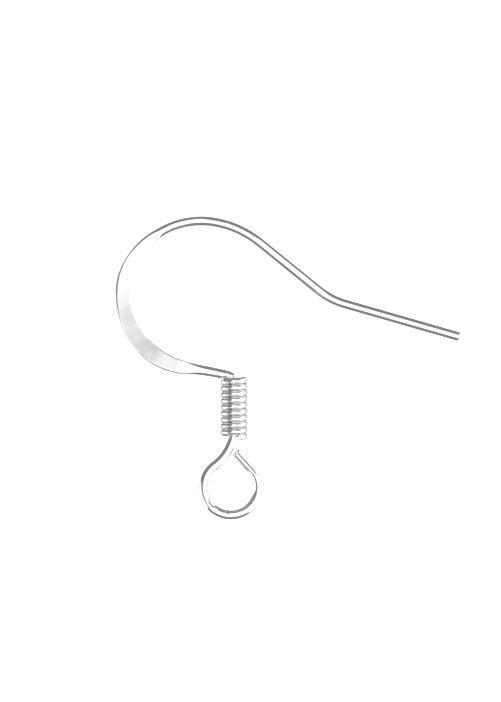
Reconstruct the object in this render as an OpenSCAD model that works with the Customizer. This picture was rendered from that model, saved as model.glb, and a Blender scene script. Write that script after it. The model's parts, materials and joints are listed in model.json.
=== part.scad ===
// Ear wire: one bent wire, pressed flat along its front and closed into an eye below,
// with a close-wound coil of thinner wire threaded on its stem. Millimetres.
// It lies on its side as it rests on a table: +X runs towards the leg that goes through
// the ear, +Y towards the arch and +Z up. It rests on its arch, its leg's tip and its coil.

/* [Wire] */
// Diameter of the round wire
wire_d = 0.64; // [0.5:0.01:0.8]
// Bevel round both cut ends of the wire
end_bevel = 0.1; // [0.02:0.01:0.2]

/* [Neck] */
// Centreline radius of the tight bend above the coil
neck_r = 0.61; // [0.5:0.01:1]
// Turn of the tight bend, from the stem to the neck
neck_turn = 77; // [65:1:85]
// Length of the neck, from the tight bend to the front curve
neck_len = 2.85; // [2:0.05:5]
// Slight turn along the neck
neck_sweep_turn = 6; // [1:1:12]

/* [Hook] */
// Centreline radius of the lower front curve
lower_r = 5.35; // [4:0.05:8]
// Turn of the lower front curve
lower_turn = 73; // [60:1:80]
// Centreline radius of the upper front curve
front_r = 4.75; // [4:0.05:8]
// Turn of the upper front curve
front_turn = 34; // [20:1:45]
// Centreline radius of the arch that sits in the ear
arch_r = 5.7; // [4.5:0.05:8]
// Turn of the arch
arch_turn = 76; // [60:1:85]
// Centreline radius of the shoulder behind the arch
shoulder_r = 7; // [4:0.1:12]
// Turn of the shoulder
shoulder_turn = 29; // [20:1:35]
// Length of the straight slope behind the shoulder
slope_len = 5.4; // [2:0.1:9]
// Centreline radius of the bend between the slope and the leg
back_r = 5.4; // [2:0.1:10]
// Turn of the bend between the slope and the leg
back_turn = 23; // [10:1:40]
// Length of the straight leg, from the back bend to its tip
leg_len = 8.5; // [5:0.1:14]

/* [Pressed front] */
// Greatest width of the pressed stretch
press_w = 1.22; // [0.9:0.01:1.4]
// Where the pressed stretch starts on the neck, past the tight bend
press_start = 0.1; // [0.1:0.1:1]
// Length of the pressed stretch along the wire
press_len = 16; // [12:0.5:17]

/* [Coil] */
// Diameter of the coil's own wire
coil_wire_d = 0.436; // [0.3:0.002:0.6]
// Turns of the coil
coil_turns = 9.1; // [4:0.1:14]
// Gap between one turn of the coil and the next
coil_turn_gap = 0.01; // [0.01:0.01:0.1]
// Play of the stem in the coil, on the diameter
coil_play = 0.46; // [0.12:0.02:0.6]
// Gap left between pieces that touch, such as the coil and the wire
touch_gap = 0.03; // [0.02:0.01:0.05]

/* [Eye] */
// Inside diameter of the eye
eye_in_d = 3.26; // [2.4:0.02:5]
// How far the eye's centre lies in front of the stem
eye_offset = 0.24; // [0:0.02:0.6]
// Centreline radius of the sweep from the stem to the eye
sweep_r = 3.4; // [2:0.1:5]
// How far inside the coil the sweep starts, above the coil's lower end
sweep_tuck = 0.89; // [0:0.01:0.9]
// Straight run between the sweep and the eye's round
sweep_run = 0.18; // [0.05:0.01:0.6]
// Angle above level at which the eye's round ends and its straight tail starts
eye_end_a = 42; // [35:1:55]
// Gap between the eye's cut end and the stem
eye_gap = 0.1; // [0.05:0.01:0.4]

/* [Hidden] */
$fn = 48;
wire_r = wire_d / 2;
wire_area = PI * wire_r * wire_r;

// Coil: it rises round +Y, front strands to the right. Angles are counted from its front (+Z)
coil_r = (wire_d + coil_play + coil_wire_d) / 2;
coil_pitch = coil_wire_d + coil_turn_gap;
coil_len = coil_turns * coil_pitch + coil_wire_d;
coil_top_a = 70;
coil_sides = 8;
coil_steps = 24;
// The stem lies on the coil's bore, so the coil's axis is this far above the stem's
coil_lift = coil_play / 2 - touch_gap;
// Height of the coil's centreline where its top turn passes an angle
function coil_last(angle) = coil_len - coil_wire_d / 2 - coil_pitch * (coil_top_a - angle) / 360;

// The neck leaves the coil as low as it can while it clears the top turn, which it crosses here
neck_cross_a = -80;
neck_room = neck_r - wire_r - coil_wire_d / 2 - touch_gap;
neck_dx = neck_r - coil_r;
neck_dy = neck_dx > 0
    ? sqrt(max(0, neck_room * neck_room - neck_dx * neck_dx))
    : (neck_room - cos(neck_turn) * neck_dx) / sin(neck_turn);
stem_top = coil_last(neck_cross_a) - neck_dy;

// A wire's route is a start, as [x, y, heading], and a row for each stretch.
// Columns: length along the wire, turn in degrees, above zero to the left
function arc_len(r, turn) = r * turn * PI / 180;
upper_start = [0, stem_top, 90];
upper = [
    [arc_len(neck_r, neck_turn), neck_turn],
    [neck_len, neck_sweep_turn],
    [arc_len(lower_r, lower_turn), -lower_turn],
    [arc_len(front_r, front_turn), -front_turn],
    [arc_len(arch_r, arch_turn), -arch_turn],
    [arc_len(shoulder_r, shoulder_turn), -shoulder_turn],
    [slope_len, 0],
    [arc_len(back_r, back_turn), back_turn],
    [leg_len - end_bevel, 0]
];
arch_row = 4;

// Where the wire is after a length of its route, as [x, y, heading]
function advance(p, length, turn) = turn == 0
    ? [p[0] + length * cos(p[2]), p[1] + length * sin(p[2]), p[2]]
    : let(r = length / (turn * PI / 180), end = p[2] + turn)
        [p[0] + r * (sin(end) - sin(p[2])), p[1] - r * (cos(end) - cos(p[2])), end];
function along(p, rows, s, i = 0) = i == len(rows) - 1 || s <= rows[i][0]
    ? advance(p, s, rows[i][1] * s / rows[i][0])
    : along(advance(p, rows[i][0], rows[i][1]), rows, s - rows[i][0], i + 1);
function reach(rows, i) = i == 0 ? 0 : reach(rows, i - 1) + rows[i - 1][0];
function beside(p, offset) = [p[0] - offset * sin(p[2]), p[1] + offset * cos(p[2])];
function turned_back(p) = [p[0], p[1], p[2] + 180];

// Eye: the sweep turns until its tangent meets the eye's round, and the tail stops short of it
eye_r = (eye_in_d + wire_d) / 2;
sweep_turn = acos((sweep_r - eye_offset) / norm([eye_r + sweep_r, sweep_run]))
    - atan2(sweep_run, eye_r + sweep_r);
eye_turn = 180 + sweep_turn + eye_end_a;
lower_start = [0, sweep_tuck, -90];
round_rows = [
    [arc_len(sweep_r, sweep_turn), -sweep_turn],
    [sweep_run, 0],
    [arc_len(eye_r, eye_turn), eye_turn]
];
tail_start = along(lower_start, round_rows, reach(round_rows, 3));
tail_dir = [cos(tail_start[2]), sin(tail_start[2])];
tail_corner = beside(tail_start, wire_r) - [-sweep_r, sweep_tuck];
tail_clear = sweep_r + wire_r + eye_gap;
tail_len = -tail_corner * tail_dir
    - sqrt(pow(tail_corner * tail_dir, 2) - tail_corner * tail_corner + tail_clear * tail_clear);
lower = concat(round_rows, [[tail_len - end_bevel, 0]]);

// Pressed stretch, from the tight bend to the arch. Columns: share of its length, share of the
// full spread, share of its width that is flat, share of its width by which the flat lies inward
press_rows = [
    [0, 0, 0, 0],
    [0.12, 0.12, 0.12, 0],
    [0.14, 0.18, 0.34, 0],
    [0.165, 0.37, 0.8, 0.02],
    [0.2, 0.6, 0.82, 0.04],
    [0.26, 0.8, 0.78, 0.06],
    [0.32, 1, 0.78, 0.06],
    [0.36, 0.98, 0.84, 0.02],
    [0.42, 0.92, 0.88, 0],
    [0.52, 0.86, 0.88, 0],
    [0.6, 0.81, 0.74, 0.16],
    [0.66, 0.78, 0.72, 0.16],
    [0.74, 0.7, 0.76, 0.06],
    [0.82, 0.54, 0.76, 0],
    [0.86, 0.45, 0.7, 0.04],
    [0.89, 0.36, 0.62, 0.1],
    [0.92, 0.27, 0.58, 0.06],
    [0.95, 0.17, 0.46, 0],
    [0.98, 0.06, 0.24, 0],
    [1, 0, 0, 0]
];
press_from = upper[0][0] + press_start;
press_to = press_from + press_len;
function press_column(s, column) = s < press_from || s > press_to ? 0
    : lookup((s - press_from) / press_len, [for (row = press_rows) [row[0], row[column]]]);
function wire_w(s) = wire_d + (press_w - wire_d) * press_column(s, 1);

// A ring of points round the wire: two flats and two oval edges. With no flat it is round
edge_points = 8;
function ring(p, w, flat, inward, thick) = [
    for (side = [1, -1], k = [0 : edge_points - 1]) let(
        a = (k + 0.5) * 180 / edge_points - 90,
        flat_to = flat - side * inward,
        q = beside(p, side * (flat_to + (w / 2 - flat_to) * cos(a)))
    ) [q[0], q[1], side * thick / 2 * sin(a)]
];
function round_ring(p, d) = ring(p, d, 0, 0, d);

// A pressed section keeps the round wire's area
function pressed_ring(p, s) = let(
    w = wire_w(s),
    flat = press_column(s, 2) * w / 2,
    thick = wire_area / (2 * flat + PI / 2 * (w / 2 - flat))
) ring(p, w, flat, press_column(s, 3) * w / 2, thick);

// Lengths along a route at which it has a ring: close together in bends and where it is pressed
ring_turn = 7;
ring_gap = 0.4;
function row_rings(row, gap) = ceil(max(1, abs(row[1]) / ring_turn, row[0] / gap));
function stops(rows, gap) = [
    for (i = [0 : len(rows) - 1]) let(count = row_rings(rows[i], gap))
        for (k = [0 : count - 1]) reach(rows, i) + rows[i][0] * k / count
];

// Lying pose: tip and arch carry it along the line that touches both, and the coil tilts it
function centre_of_turn(p, r) = beside(p, -r);
tip = along(upper_start, upper, reach(upper, len(upper)));
tip_xy = [tip[0], tip[1]];
to_arch = centre_of_turn(along(upper_start, upper, reach(upper, arch_row)), arch_r) - tip_xy;
rest_a = atan2(to_arch[1], to_arch[0]) - asin(arch_r / norm(to_arch));
rest_dir = [cos(rest_a), sin(rest_a)];
rest_side = [-sin(rest_a), cos(rest_a)];
coil_touch = [0, coil_last(-180)];
coil_rise = coil_r + coil_wire_d / 2 - coil_lift - wire_r;
tilt = asin(coil_rise / ((coil_touch - tip_xy) * rest_side));
function laid(p) = ((p - tip_xy) * rest_dir) * rest_dir
    + ((p - tip_xy) * rest_side) * cos(tilt) * rest_side;
outline_step = 0.1;
outline = [
    for (side = [-0.5, 0.5], s = [0 : outline_step : reach(upper, len(upper))])
        laid(beside(along(upper_start, upper, s), side * wire_w(s))),
    for (side = [-1, 1]) laid(beside(advance(tip, end_bevel, 0), side * (wire_r - end_bevel))),
    for (side = [-0.5, 0.5], s = [0 : outline_step : reach(lower, len(lower))])
        laid(beside(along(lower_start, lower, s), side * wire_d))
];
function middle(axis) = let(values = [for (p = outline) p[axis]]) (min(values) + max(values)) / 2;

// Lays a piece of the upright hook down as it rests, with the whole part centred over the origin
module lie() {
    translate([-middle(0), -middle(1), wire_r])
        rotate(a = tilt, v = [rest_dir[0], rest_dir[1], 0])
            translate([-tip_xy[0], -tip_xy[1], 0])
                children();
}

// A closed tube through rings of points, each ring clockwise as seen from behind
module tube(rings) {
    n = len(rings);
    m = len(rings[0]);
    polyhedron(
        points = [for (ring = rings) each ring],
        faces = concat(
            [[for (k = [0 : m - 1]) k]],
            [[for (k = [m - 1 : -1 : 0]) (n - 1) * m + k]],
            [for (i = [0 : n - 2], k = [0 : m - 1]) let(j = (k + 1) % m)
                [i * m + k, (i + 1) * m + k, (i + 1) * m + j]],
            [for (i = [0 : n - 2], k = [0 : m - 1]) let(j = (k + 1) % m)
                [i * m + k, (i + 1) * m + j, i * m + j]]
        )
    );
}

// The whole bent wire: eye, sweep, stem, neck, pressed front, arch, slope and back bend as one
// tube, and the straight leg as a true cylinder. The tube tapers slightly into the leg.
taper = 0.01;
taper_before = 0.05;
taper_inside = 0.2;
module hook_wire() {
    bends = [for (i = [0 : len(upper) - 2]) upper[i]];
    bends_end = along(upper_start, upper, reach(upper, len(bends)));
    tail_end = along(lower_start, lower, reach(lower, len(lower)));
    low_stops = concat(stops(lower, slope_len), [reach(lower, len(lower))]);
    color("silver") lie() {
        tube(concat(
            [round_ring(turned_back(advance(tail_end, end_bevel, 0)), wire_d - 2 * end_bevel)],
            [for (i = [len(low_stops) - 1 : -1 : 0])
                round_ring(turned_back(along(lower_start, lower, low_stops[i])), wire_d)],
            [for (s = stops(bends, ring_gap)) pressed_ring(along(upper_start, upper, s), s)],
            [round_ring(advance(bends_end, -taper_before, 0), wire_d)],
            [round_ring(advance(bends_end, taper_inside, 0), wire_d - 2 * taper)]
        ));
        translate([bends_end[0], bends_end[1], 0]) rotate([0, 0, bends_end[2]]) rotate([0, 90, 0]) {
            cylinder(r = wire_r, h = leg_len - end_bevel);
            translate([0, 0, leg_len - end_bevel])
                cylinder(r1 = wire_r, r2 = wire_r - end_bevel, h = end_bevel);
        }
    }
}

// The coil of thinner wire on the stem
module wire_coil() {
    count = ceil(coil_turns * coil_steps);
    rings = [
        for (i = [0 : count]) let(
            turned = coil_turns * 360 * i / count,
            a = coil_top_a - coil_turns * 360 + turned,
            y = coil_wire_d / 2 + coil_pitch * turned / 360
        ) [
            for (k = [0 : coil_sides - 1]) let(
                b = 360 * k / coil_sides,
                r = coil_r - coil_wire_d / 2 * cos(b)
            ) [r * sin(a), y + coil_wire_d / 2 * sin(b), r * cos(a) + coil_lift]
        ]
    ];
    color("gainsboro") lie() tube(rings);
}

hook_wire();
wire_coil();
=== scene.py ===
# Ear wire of polished silver, lying on its side: a bent wire pressed flat along its front,
# and a close-wound coil on its stem. The wire is drawn straight, pressed and then bent.
import bpy
import bmesh
import json
import math
from mathutils import Matrix, Vector


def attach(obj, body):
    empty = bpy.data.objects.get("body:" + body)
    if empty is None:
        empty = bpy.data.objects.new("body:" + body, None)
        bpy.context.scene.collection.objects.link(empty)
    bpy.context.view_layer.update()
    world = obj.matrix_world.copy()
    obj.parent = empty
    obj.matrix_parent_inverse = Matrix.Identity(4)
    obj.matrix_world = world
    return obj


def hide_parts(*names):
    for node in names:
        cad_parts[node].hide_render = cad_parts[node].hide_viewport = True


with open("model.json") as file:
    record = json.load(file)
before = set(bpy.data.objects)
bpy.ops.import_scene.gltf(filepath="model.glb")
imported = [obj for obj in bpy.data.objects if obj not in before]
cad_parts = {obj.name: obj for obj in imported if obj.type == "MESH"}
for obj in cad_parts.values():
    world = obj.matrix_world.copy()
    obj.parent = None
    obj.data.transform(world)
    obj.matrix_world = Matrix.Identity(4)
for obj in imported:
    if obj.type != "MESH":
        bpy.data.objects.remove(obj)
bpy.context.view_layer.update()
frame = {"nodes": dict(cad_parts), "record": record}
mounts = {mount["name"]: mount for mount in frame["record"]["mounts"]}
metre = 0.001  # the pieces are shaped in millimetres and then brought down to metres
print("frame loaded:", sorted(frame["nodes"]))


# A place on a bent wire is (x, y, heading in degrees). A row of its route is (length, turn in degrees)
def arcLength(radius, turn):
    return radius * math.radians(turn)


def advance(place, length, turn):
    x, y, heading = place
    start = math.radians(heading)
    if turn == 0:
        return (x + length * math.cos(start), y + length * math.sin(start), heading)
    end = math.radians(heading + turn)
    radius = length / math.radians(turn)
    return (x + radius * (math.sin(end) - math.sin(start)),
            y - radius * (math.cos(end) - math.cos(start)), heading + turn)


def along(start, rows, distance):
    place = start
    for length, turn in rows[:-1]:
        if distance <= length:
            return advance(place, distance, turn * distance / length)
        place = advance(place, length, turn)
        distance -= length
    length, turn = rows[-1]
    return advance(place, distance, turn * distance / length)


def reach(rows):
    return sum(length for length, turn in rows)


def beside(place, offset):
    angle = math.radians(place[2])
    return (place[0] - offset * math.sin(angle), place[1] + offset * math.cos(angle))


# The wire's sizes in millimetres and degrees. The last row says how finely it is drawn and bent,
# and how near an end the vertices of its ring lie
wire = {
    "gauge": 0.64, "endBevel": 0.1,
    "neckRadius": 0.61, "neckTurn": 77, "neckLength": 2.85, "neckSweep": 6,
    "lowerRadius": 5.35, "lowerTurn": 73, "frontRadius": 4.75, "frontTurn": 34,
    "archRadius": 5.7, "archTurn": 76, "shoulderRadius": 7, "shoulderTurn": 29,
    "slope": 5.4, "backRadius": 5.4, "backTurn": 23, "leg": 8.5,
    "sweepTuck": 0.89, "sweepRadius": 3.4, "sweepRun": 0.18,
    "eyeInside": 3.26, "eyeOffset": 0.24, "eyeEnd": 42, "eyeGap": 0.1,
    "pressWidth": 1.22, "pressStart": 0.1, "pressLength": 16, "pressSmooth": 0.3,
    "sides": 40, "ringGap": 0.16, "pathGap": 0.1, "bevelSegments": 3, "endReach": 0.0001,
}

# Pressed stretch: share of its length, share of the full spread, share of the width that is flat,
# share of the width by which the flat lies inward
pressRows = [
    (0, 0, 0, 0), (0.12, 0.12, 0.12, 0), (0.14, 0.18, 0.34, 0), (0.165, 0.37, 0.8, 0.02),
    (0.2, 0.6, 0.82, 0.04), (0.26, 0.8, 0.78, 0.06), (0.32, 1, 0.78, 0.06), (0.36, 0.98, 0.84, 0.02),
    (0.42, 0.92, 0.88, 0), (0.52, 0.86, 0.88, 0), (0.6, 0.81, 0.74, 0.16), (0.66, 0.78, 0.72, 0.16),
    (0.74, 0.7, 0.76, 0.06), (0.82, 0.54, 0.76, 0), (0.86, 0.45, 0.7, 0.04), (0.89, 0.36, 0.62, 0.1),
    (0.92, 0.27, 0.58, 0.06), (0.95, 0.17, 0.46, 0), (0.98, 0.06, 0.24, 0), (1, 0, 0, 0),
]

stemFoot = (0, wire["sweepTuck"], -90)
eyeRadius = (wire["eyeInside"] + wire["gauge"]) / 2


def bend(name, side):
    turn = wire[name + "Turn"]
    return (arcLength(wire[name + "Radius"], turn), side * turn)


def upperRows():
    # From the top of the stem over the arch to the end of the leg. A bend to the left has side 1
    return [bend("neck", 1), (wire["neckLength"], wire["neckSweep"]), bend("lower", -1),
            bend("front", -1), bend("arch", -1), bend("shoulder", -1), (wire["slope"], 0),
            bend("back", 1), (wire["leg"], 0)]


def lowerRows():
    # From the foot of the stem round the eye to the end of the tail
    sweepRadius = wire["sweepRadius"]
    run = wire["sweepRun"]
    span = eyeRadius + sweepRadius
    toEye = math.acos((sweepRadius - wire["eyeOffset"]) / math.hypot(span, run))
    sweepTurn = math.degrees(toEye - math.atan2(run, span))
    eyeTurn = 180 + sweepTurn + wire["eyeEnd"]
    rows = [(arcLength(sweepRadius, sweepTurn), -sweepTurn), (run, 0),
            (arcLength(eyeRadius, eyeTurn), eyeTurn)]
    # The tail runs straight until its corner is a gap short of the sweep
    tailStart = along(stemFoot, rows, reach(rows))
    heading = math.radians(tailStart[2])
    corner = Vector(beside(tailStart, wire["gauge"] / 2)) - Vector((-sweepRadius, wire["sweepTuck"]))
    toward = corner.dot(Vector((math.cos(heading), math.sin(heading))))
    clear = sweepRadius + wire["gauge"] / 2 + wire["eyeGap"]
    tail = -toward - math.sqrt(toward ** 2 - corner.dot(corner) + clear ** 2)
    return rows + [(tail, 0)]


upper = upperRows()
lower = lowerRows()
eyeCentre = beside(along(stemFoot, lower, reach(lower[:2])), eyeRadius)
legHeading = 90 + sum(turn for length, turn in upper)


def hookPose():
    # How the hook lies: the eye's mount gives its normal and its place, and the leg's gives its turn
    normal = Vector(mounts["earring_eye"]["axis"]).normalized()
    leg = Vector(mounts["ear_leg"]["axis"]).normalized()
    side = normal.cross(leg)
    turn = math.radians(legHeading)
    right = leg * math.cos(turn) - side * math.sin(turn)
    up = leg * math.sin(turn) + side * math.cos(turn)
    origin = Vector(mounts["earring_eye"]["pos_m"]) - (right * eyeCentre[0] + up * eyeCentre[1]) * metre
    lying = Matrix((right, up, normal)).transposed().to_4x4()
    lying.translation = origin
    return lying


# The leg's mount stands at the middle of the leg's plain length, so its height says where the stem ends
pose = hookPose()
legMiddle = pose.inverted() @ Vector(mounts["ear_leg"]["pos_m"]) / metre
legPlain = along((0, 0, 90), upper, reach(upper[:-1]) + (wire["leg"] - wire["endBevel"]) / 2)
stemTop = legMiddle.y - legPlain[1]
print("stem runs up to", round(stemTop, 3), "mm")


# Modelling helpers
shading = {"smoothAngle": 32, "flatWeight": 90}


def deselectAll():
    if bpy.context.mode != "OBJECT":
        bpy.ops.object.mode_set(mode="OBJECT")
    bpy.ops.object.select_all(action="DESELECT")


def makeActive(piece):
    deselectAll()
    piece.select_set(True)
    bpy.context.view_layer.objects.active = piece


def editVertices(piece):
    makeActive(piece)
    bpy.ops.object.mode_set(mode="EDIT")
    bpy.ops.mesh.select_mode(type="VERT")


def selectWhere(piece, test):
    bm = bmesh.from_edit_mesh(piece.data)
    for vertex in bm.verts:
        vertex.select_set(test(vertex))
    bm.select_flush(True)
    bmesh.update_edit_mesh(piece.data)


def turnOutwards():
    bpy.ops.mesh.select_all(action="SELECT")
    bpy.ops.mesh.normals_make_consistent(inside=False)


def applyModifier(piece, kind, **settings):
    makeActive(piece)
    modifier = piece.modifiers.new(kind.lower(), kind)
    for name, value in settings.items():
        setattr(modifier, name, value)
    bpy.ops.object.modifier_apply(modifier=modifier.name)


def finishPiece(piece, name, node):
    piece.name = name
    makeActive(piece)
    bpy.ops.object.shade_smooth_by_angle(angle=math.radians(shading["smoothAngle"]))
    # Faces are weighted by their size while they are still in millimetres, so that flats shade flat
    applyModifier(piece, "WEIGHTED_NORMAL", weight=shading["flatWeight"], keep_sharp=True)
    piece.matrix_world = pose @ Matrix.Scale(metre, 4)
    bpy.ops.object.transform_apply(location=True, rotation=True, scale=True)
    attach(piece, "root")
    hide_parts(node)
    print(name, "has", len(piece.data.polygons), "faces")


def keepDrawn(piece, places):
    # Straight-wire coordinates, kept on the bent piece so that its drawing lines follow the wire
    drawn = piece.data.attributes.new("drawn", "FLOAT_VECTOR", "POINT")
    drawn.data.foreach_set("vector", [value for place in places for value in place])


# The hook's whole route runs from the cut end of the tail to the end of the leg
tailEnd = along(stemFoot, lower, reach(lower))
hookStart = (tailEnd[0], tailEnd[1], tailEnd[2] + 180)
eyeAndStem = [(length, -turn) for length, turn in reversed(lower)] + [(stemTop - wire["sweepTuck"], 0)]
hookRows = eyeAndStem + upper
hookLength = reach(hookRows)
pressFrom = reach(eyeAndStem + upper[:1]) + wire["pressStart"]


# The hook: a round wire drawn out straight, pressed, bevelled at its ends and bent
def rowValues(share):
    before = max(row for row in pressRows if row[0] <= share)
    after = min(row for row in pressRows if row[0] > share)
    blend = (share - before[0]) / (after[0] - before[0])
    return [before[i] + (after[i] - before[i]) * blend for i in (1, 2, 3)]


def pressAt(distance):
    # Width, half of the flat on the outer and the inner side, thickness. The rows are read at five
    # places close together, so that the pressed stretch has no corners along it
    places = [distance + wire["pressSmooth"] * k / 2 for k in range(-2, 3)]
    shares = [(place - pressFrom) / wire["pressLength"] for place in places]
    readings = [rowValues(share) for share in shares if 0 < share < 1]
    if not readings:
        return wire["gauge"], 0, 0, wire["gauge"]
    spread, flat, inward = (sum(reading[i] for reading in readings) / len(shares) for i in range(3))
    half = (wire["gauge"] + (wire["pressWidth"] - wire["gauge"]) * spread) / 2
    # The wire keeps its metal, so it gets thinner where it gets wider
    area = math.pi * (wire["gauge"] / 2) ** 2
    thickness = area / (2 * flat * half + math.pi / 2 * (1 - flat) * half)
    return half * 2, (flat - inward) * half, (flat + inward) * half, thickness


def pressEnd(piece, x, old, new):
    # Each side of the end ring is drawn in to the middle, resized, and moved out by its new flat
    ring = {vertex.index for vertex in bmesh.from_edit_mesh(piece.data).verts if vertex.select}
    for side, column in ((1, 1), (-1, 2)):
        selectWhere(piece, lambda vertex: vertex.index in ring and vertex.co.y * side > 0)
        bpy.ops.transform.translate(value=(0, -side * old[column], 0))
        edgeShare = (new[0] / 2 - new[column]) / (old[0] / 2 - old[column])
        bpy.ops.transform.resize(value=(1, edgeShare, new[3] / old[3]), center_override=(x, 0, 0))
        bpy.ops.transform.translate(value=(0, side * new[column], 0))
    selectWhere(piece, lambda vertex: vertex.index in ring)


def drawWire(length):
    bpy.ops.mesh.primitive_circle_add(vertices=wire["sides"], radius=wire["gauge"] / 2, fill_type="NGON",
                                      rotation=(0, math.radians(90), 0))
    piece = bpy.context.object
    bpy.ops.object.transform_apply(rotation=True)
    editVertices(piece)
    bpy.ops.mesh.select_all(action="SELECT")
    # Half a side's turn leaves no vertex on the line between the outer and the inner side
    bpy.ops.transform.rotate(value=math.radians(180 / wire["sides"]), orient_axis="X",
                             center_override=(0, 0, 0))
    count = round(length / wire["ringGap"])
    section = pressAt(0)
    for k in range(1, count + 1):
        x = length * k / count
        bpy.ops.mesh.extrude_region_move(TRANSFORM_OT_translate={"value": (length / count, 0, 0)})
        nextSection = pressAt(x)
        if nextSection != section:
            pressEnd(piece, x, section, nextSection)
            section = nextSection
    return piece


def bevelEnds(piece, length):
    for end in (0, length):
        selectWhere(piece, lambda vertex: abs(vertex.co.x - end) < wire["endReach"])
        bpy.ops.mesh.bevel(offset=wire["endBevel"], segments=wire["bevelSegments"], affect="EDGES",
                           clamp_overlap=False)
    turnOutwards()
    bpy.ops.object.mode_set(mode="OBJECT")


def bendWire(piece, start, rows):
    path = bpy.data.curves.new("path", "CURVE")
    path.dimensions = "2D"
    spline = path.splines.new("POLY")
    steps = round(reach(rows) / wire["pathGap"])
    spline.points.add(steps)
    for k in range(steps + 1):
        x, y, heading = along(start, rows, reach(rows) * k / steps)
        spline.points[k].co = (x, y, 0, 1)
    pathObject = bpy.data.objects.new("path", path)
    bpy.context.scene.collection.objects.link(pathObject)
    bpy.context.view_layer.update()
    applyModifier(piece, "CURVE", object=pathObject, deform_axis="POS_X")
    bpy.data.objects.remove(pathObject)


hook = drawWire(hookLength)
bevelEnds(hook, hookLength)
keepDrawn(hook, [tuple(vertex.co) for vertex in hook.data.vertices])
bendWire(hook, hookStart, hookRows)
finishPiece(hook, "earHook", "hook_wire")


# The coil, in millimetres and degrees. Angles are counted from its front, round towards the leg
coil = {"gauge": 0.436, "sides": 24, "stepsPerTurn": 56, "turns": 9.1, "turnGap": 0.01, "play": 0.46,
        "touchGap": 0.03, "topAngle": 70}


def coilPlaces(piece, length, steps):
    # The screw leaves the vertices ring by ring, each ring in the order of the first circle
    places = []
    for k in range(len(piece.data.vertices)):
        angle = 2 * math.pi * (k % coil["sides"]) / coil["sides"]
        places.append((length * (k // coil["sides"]) / steps,
                       coil["gauge"] / 2 * math.cos(angle), coil["gauge"] / 2 * math.sin(angle)))
    return places


def makeCoil():
    radius = (wire["gauge"] + coil["play"] + coil["gauge"]) / 2
    rise = (coil["gauge"] + coil["turnGap"]) * coil["turns"]
    wireLength = math.hypot(2 * math.pi * radius * coil["turns"], rise)
    woundAngle = 360 * coil["turns"]
    steps = round(coil["stepsPerTurn"] * coil["turns"])
    bpy.ops.mesh.primitive_circle_add(vertices=coil["sides"], radius=coil["gauge"] / 2, fill_type="NOTHING")
    piece = bpy.context.object
    editVertices(piece)
    bpy.ops.mesh.select_all(action="SELECT")
    bpy.ops.transform.translate(value=(radius, coil["gauge"] / 2, 0))
    bpy.ops.transform.rotate(value=math.radians(woundAngle + 90 - coil["topAngle"]), orient_axis="Y",
                             center_override=(0, 0, 0))
    bpy.ops.object.mode_set(mode="OBJECT")
    applyModifier(piece, "SCREW", axis="Y", angle=math.radians(woundAngle), screw_offset=rise,
                  steps=steps, render_steps=steps, use_merge_vertices=False, use_smooth_shade=True)
    # The cut ends are closed, and the coil is set so that the stem lies low in its bore
    editVertices(piece)
    bpy.ops.mesh.select_all(action="DESELECT")
    bpy.ops.mesh.select_non_manifold()
    bpy.ops.mesh.fill_holes(sides=0)
    turnOutwards()
    bpy.ops.transform.translate(value=(0, 0, coil["play"] / 2 - coil["touchGap"]))
    bpy.ops.object.mode_set(mode="OBJECT")
    keepDrawn(piece, coilPlaces(piece, wireLength, steps))
    return piece


coilPiece = makeCoil()
finishPiece(coilPiece, "stemCoil", "wire_coil")


# Finishes. Colours are linear, and lengths are in millimetres
hookFinish = {"bright": (0.93, 0.93, 0.935), "worn": (0.88, 0.88, 0.885), "roughness": (0.05, 0.1),
              "linesAlong": 0.5, "linesAcross": 30.0, "waveSize": 1.2, "waveShare": 0.5,
              "bumpStrength": 0.35, "bumpDepth": 0.0006}
coilFinish = {"bright": (0.92, 0.92, 0.925), "worn": (0.86, 0.86, 0.865), "roughness": (0.1, 0.16),
              "linesAlong": 0.7, "linesAcross": 40.0, "waveSize": 1.6, "waveShare": 0.5,
              "bumpStrength": 0.35, "bumpDepth": 0.0015}
# What both finishes share: detail of the noises, and the wave heights between which wear sets in
drawing = {"lineDetail": 3.0, "waveDetail": 1.0, "wearFrom": 0.45, "wearTo": 0.75}


def link(tree, fromSocket, toSocket):
    tree.links.new(fromSocket, toSocket)


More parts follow.
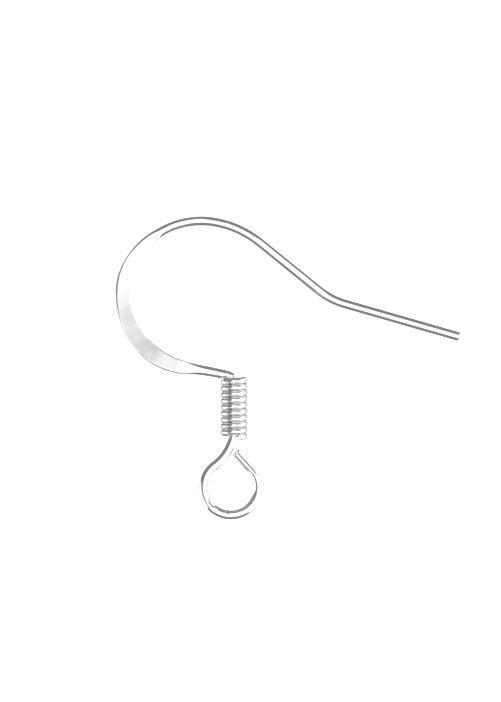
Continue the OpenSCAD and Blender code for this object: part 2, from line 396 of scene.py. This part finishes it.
def makeDrawnGroup():
    # Fine drawing lines along a wire, with slower waves and spots of wear in between
    group = bpy.data.node_groups.new("drawnWire", "ShaderNodeTree")
    for name in ("Lines Along", "Lines Across", "Wave Size", "Wave Share"):
        group.interface.new_socket(name=name, in_out="INPUT", socket_type="NodeSocketFloat")
    for name in ("Height", "Wear"):
        group.interface.new_socket(name=name, in_out="OUTPUT", socket_type="NodeSocketFloat")
    nodes = group.nodes
    enter = nodes.new("NodeGroupInput")
    leave = nodes.new("NodeGroupOutput")
    place = nodes.new("ShaderNodeAttribute")
    place.attribute_name = "drawn"
    scales = nodes.new("ShaderNodeCombineXYZ")
    link(group, enter.outputs["Lines Along"], scales.inputs["X"])
    link(group, enter.outputs["Lines Across"], scales.inputs["Y"])
    link(group, enter.outputs["Lines Across"], scales.inputs["Z"])
    stretched = nodes.new("ShaderNodeVectorMath")
    stretched.operation = "MULTIPLY"
    link(group, place.outputs["Vector"], stretched.inputs[0])
    link(group, scales.outputs["Vector"], stretched.inputs[1])
    lines = nodes.new("ShaderNodeTexNoise")
    lines.inputs["Detail"].default_value = drawing["lineDetail"]
    lines.inputs["Scale"].default_value = 1.0
    link(group, stretched.outputs["Vector"], lines.inputs["Vector"])
    waves = nodes.new("ShaderNodeTexNoise")
    waves.inputs["Detail"].default_value = drawing["waveDetail"]
    link(group, place.outputs["Vector"], waves.inputs["Vector"])
    link(group, enter.outputs["Wave Size"], waves.inputs["Scale"])
    both = nodes.new("ShaderNodeMix")
    link(group, enter.outputs["Wave Share"], both.inputs["Factor"])
    link(group, lines.outputs["Fac"], both.inputs["A"])
    link(group, waves.outputs["Fac"], both.inputs["B"])
    link(group, both.outputs["Result"], leave.inputs["Height"])
    wear = nodes.new("ShaderNodeMapRange")
    wear.inputs["From Min"].default_value = drawing["wearFrom"]
    wear.inputs["From Max"].default_value = drawing["wearTo"]
    link(group, waves.outputs["Fac"], wear.inputs["Value"])
    link(group, wear.outputs["Result"], leave.inputs["Wear"])
    return group


drawnGroup = makeDrawnGroup()


def makeSilver(name, finish):
    material = bpy.data.materials.new(name)
    material.use_nodes = True
    tree = material.node_tree
    nodes = tree.nodes
    shader = nodes["Principled BSDF"]
    shader.inputs["Metallic"].default_value = 1.0
    drawn = nodes.new("ShaderNodeGroup")
    drawn.node_tree = drawnGroup
    drawn.inputs["Lines Along"].default_value = finish["linesAlong"]
    drawn.inputs["Lines Across"].default_value = finish["linesAcross"]
    drawn.inputs["Wave Size"].default_value = finish["waveSize"]
    drawn.inputs["Wave Share"].default_value = finish["waveShare"]
    color = nodes.new("ShaderNodeMix")
    color.data_type = "RGBA"
    color.inputs["A"].default_value = (*finish["bright"], 1)
    color.inputs["B"].default_value = (*finish["worn"], 1)
    link(tree, drawn.outputs["Wear"], color.inputs["Factor"])
    link(tree, color.outputs["Result"], shader.inputs["Base Color"])
    rough = nodes.new("ShaderNodeMapRange")
    rough.inputs["To Min"].default_value = finish["roughness"][0]
    rough.inputs["To Max"].default_value = finish["roughness"][1]
    link(tree, drawn.outputs["Wear"], rough.inputs["Value"])
    link(tree, rough.outputs["Result"], shader.inputs["Roughness"])
    bump = nodes.new("ShaderNodeBump")
    bump.inputs["Strength"].default_value = finish["bumpStrength"]
    bump.inputs["Distance"].default_value = finish["bumpDepth"] * metre
    link(tree, drawn.outputs["Height"], bump.inputs["Height"])
    link(tree, bump.outputs["Normal"], shader.inputs["Normal"])
    return material


hook.data.materials.append(makeSilver("hookSilver", hookFinish))
coilPiece.data.materials.append(makeSilver("coilSilver", coilFinish))
print("finishes made")


# The studio: a pale floor, a soft white tent with darker walls, and a camera square to the hook.
# The floor's size, and its drop below the lying hook, are in millimetres
floorLook = {"size": 800, "drop": 0.015, "shade": 0.9, "roughness": 0.9, "glow": 0.8}


def makeFloor():
    bpy.ops.mesh.primitive_plane_add(size=floorLook["size"] * metre,
                                     location=(0, 0, -floorLook["drop"] * metre))
    floor = bpy.context.object
    floor.name = "paleFloor"
    material = bpy.data.materials.new("paleFloor")
    material.use_nodes = True
    shader = material.node_tree.nodes["Principled BSDF"]
    shade = floorLook["shade"]
    shader.inputs["Base Color"].default_value = (shade, shade, shade, 1)
    shader.inputs["Roughness"].default_value = floorLook["roughness"]
    shader.inputs["Specular IOR Level"].default_value = 0.0
    shader.inputs["Emission Color"].default_value = (1, 1, 1, 1)
    shader.inputs["Emission Strength"].default_value = floorLook["glow"]
    floor.data.materials.append(material)
    floor.visible_glossy = False


# A place in the tent is given by where a round wire mirrors it: a share of the wire's half width, 0 at
# its middle. Past floorLine the tent's own floor shows. The lens shades a small spot of the tent
tent = {"white": 1.69, "dark": 0.3, "floor": 0.9, "floorLine": 0.8, "softness": 0.05, "backdrop": 1.0,
        "lensTilt": (-0.05, 0.0026), "lensSize": 0.039, "lensShade": 0.57}
# Dark walls of the tent: direction round the hook in degrees from its own x axis, and the shares at
# which the wall starts and ends
tentWalls = [
    (-180, 0.11, 0.48), (-172, 0.1, 0.45), (-150, 0.08, 0.4), (-138, 0.07, 0.4), (-133, 0.4, 1),
    (-126, 0.42, 1), (-104, 0.38, 1), (-90, 0.36, 1), (-65, 0.44, 1), (-60, 0.5, 1), (-52, 0.9, 1),
    (-46, 1, 1), (18, 1, 1), (24, 0.12, 0.45), (44, 0.12, 0.45), (48, 0.48, 1), (54, 0.46, 1),
    (58, 0.3, 1), (72, 0.28, 1), (76, 0.34, 1), (79, 0.24, 1), (86, 0.24, 1), (90, 0.36, 1),
    (110, 0.34, 1), (126, 0.26, 1), (150, 0.2, 1), (160, 0.18, 1), (170, 0.14, 0.75), (180, 0.11, 0.48),
]


def makeTent():
    world = bpy.data.worlds.new("softTent")
    bpy.context.scene.world = world
    world.use_nodes = True
    tree = world.node_tree
    nodes = tree.nodes
    nodes.clear()
    place = nodes.new("ShaderNodeTexCoord").outputs["Generated"]

    def calculate(operation, *values):
        node = nodes.new("ShaderNodeMath")
        node.operation = operation
        for socket, value in zip(node.inputs, values):
            if isinstance(value, (int, float)):
                socket.default_value = value
            else:
                link(tree, value, socket)
        return node.outputs[0]

    def limited(value):
        return calculate("MAXIMUM", calculate("MINIMUM", value, 1.0), 0.0)

    def difference(first, second):
        return calculate("SUBTRACT", first, second)

    def product(first, second):
        return calculate("MULTIPLY", first, second)

    def blended(share, first, second):
        return calculate("ADD", first, product(share, difference(second, first)))

    def pastEdge(value, edge):
        return calculate("DIVIDE", difference(value, edge), tent["softness"])

    def partAlong(axis):
        node = nodes.new("ShaderNodeVectorMath")
        node.operation = "DOT_PRODUCT"
        link(tree, place, node.inputs[0])
        node.inputs[1].default_value = axis
        return node.outputs["Value"]

    def offAxis(axis):
        return calculate("MAXIMUM", difference(1.0, partAlong(axis)), 0.0)

    def wallEdge(direction, column):
        ramp = nodes.new("ShaderNodeValToRGB")
        link(tree, direction, ramp.inputs["Fac"])
        elements = ramp.color_ramp.elements
        while len(elements) < len(tentWalls):
            elements.new(0.5)
        for element, row in zip(elements, tentWalls):
            element.position = row[0] / 360 + 0.5
            element.color = (row[column], row[column], row[column], 1)
        return ramp.outputs["Color"]

    right, up, normal = (pose.to_3x3().col[i].normalized() for i in range(3))
    azimuth = calculate("ARCTAN2", partAlong(up), partAlong(right))
    direction = calculate("ADD", calculate("DIVIDE", azimuth, 2 * math.pi), 0.5)  # 0 to 1 round the hook
    # What stands at an angle from the normal is mirrored at the sine of half that angle
    share = calculate("SQRT", calculate("DIVIDE", offAxis(normal), 2.0))
    started = pastEdge(share, wallEdge(direction, 1))
    notEnded = calculate("ADD", pastEdge(wallEdge(direction, 2), share), 1.0)
    wall = limited(calculate("MINIMUM", started, notEnded))
    below = limited(pastEdge(share, tent["floorLine"]))
    light = blended(wall, blended(below, tent["white"], tent["floor"]), tent["dark"])
    lensAxis = (normal + right * tent["lensTilt"][0] + up * tent["lensTilt"][1]).normalized()
    offLens = calculate("SQRT", offAxis(lensAxis))
    lens = limited(difference(1.0, calculate("DIVIDE", offLens, tent["lensSize"])))
    shaded = product(light, difference(1.0, product(lens, tent["lensShade"])))
    seen = nodes.new("ShaderNodeLightPath").outputs["Is Camera Ray"]
    background = nodes.new("ShaderNodeBackground")
    link(tree, blended(seen, shaded, tent["backdrop"]), background.inputs["Strength"])
    output = nodes.new("ShaderNodeOutputWorld")
    link(tree, background.outputs["Background"], output.inputs["Surface"])


# The photo's frame and the hook's origin in it, in pixels, and the camera's own lengths, in millimetres
photo = {"width": 501, "height": 702, "pixelsPerMm": 14.0, "originX": 234.1, "originY": 439.66,
         "lens": 90.0, "sensorHeight": 36.0, "clipStart": 5}


def makeCamera():
    data = bpy.data.cameras.new("camera")
    data.sensor_fit = "VERTICAL"
    data.sensor_height = photo["sensorHeight"]
    data.lens = photo["lens"]
    data.clip_start = photo["clipStart"] * metre
    camera = bpy.data.objects.new("camera", data)
    bpy.context.scene.collection.objects.link(camera)
    viewHeight = photo["height"] / photo["pixelsPerMm"]
    distance = viewHeight * data.lens / data.sensor_height
    middle = ((photo["width"] / 2 - photo["originX"]) / photo["pixelsPerMm"],
              (photo["originY"] - photo["height"] / 2) / photo["pixelsPerMm"])
    place = pose.copy()
    place.translation = pose @ (Vector((*middle, distance)) * metre)
    camera.matrix_world = place
    bpy.context.scene.camera = camera


makeFloor()
makeTent()
makeCamera()
bpy.context.scene.view_settings.view_transform = "Standard"
print("studio ready")
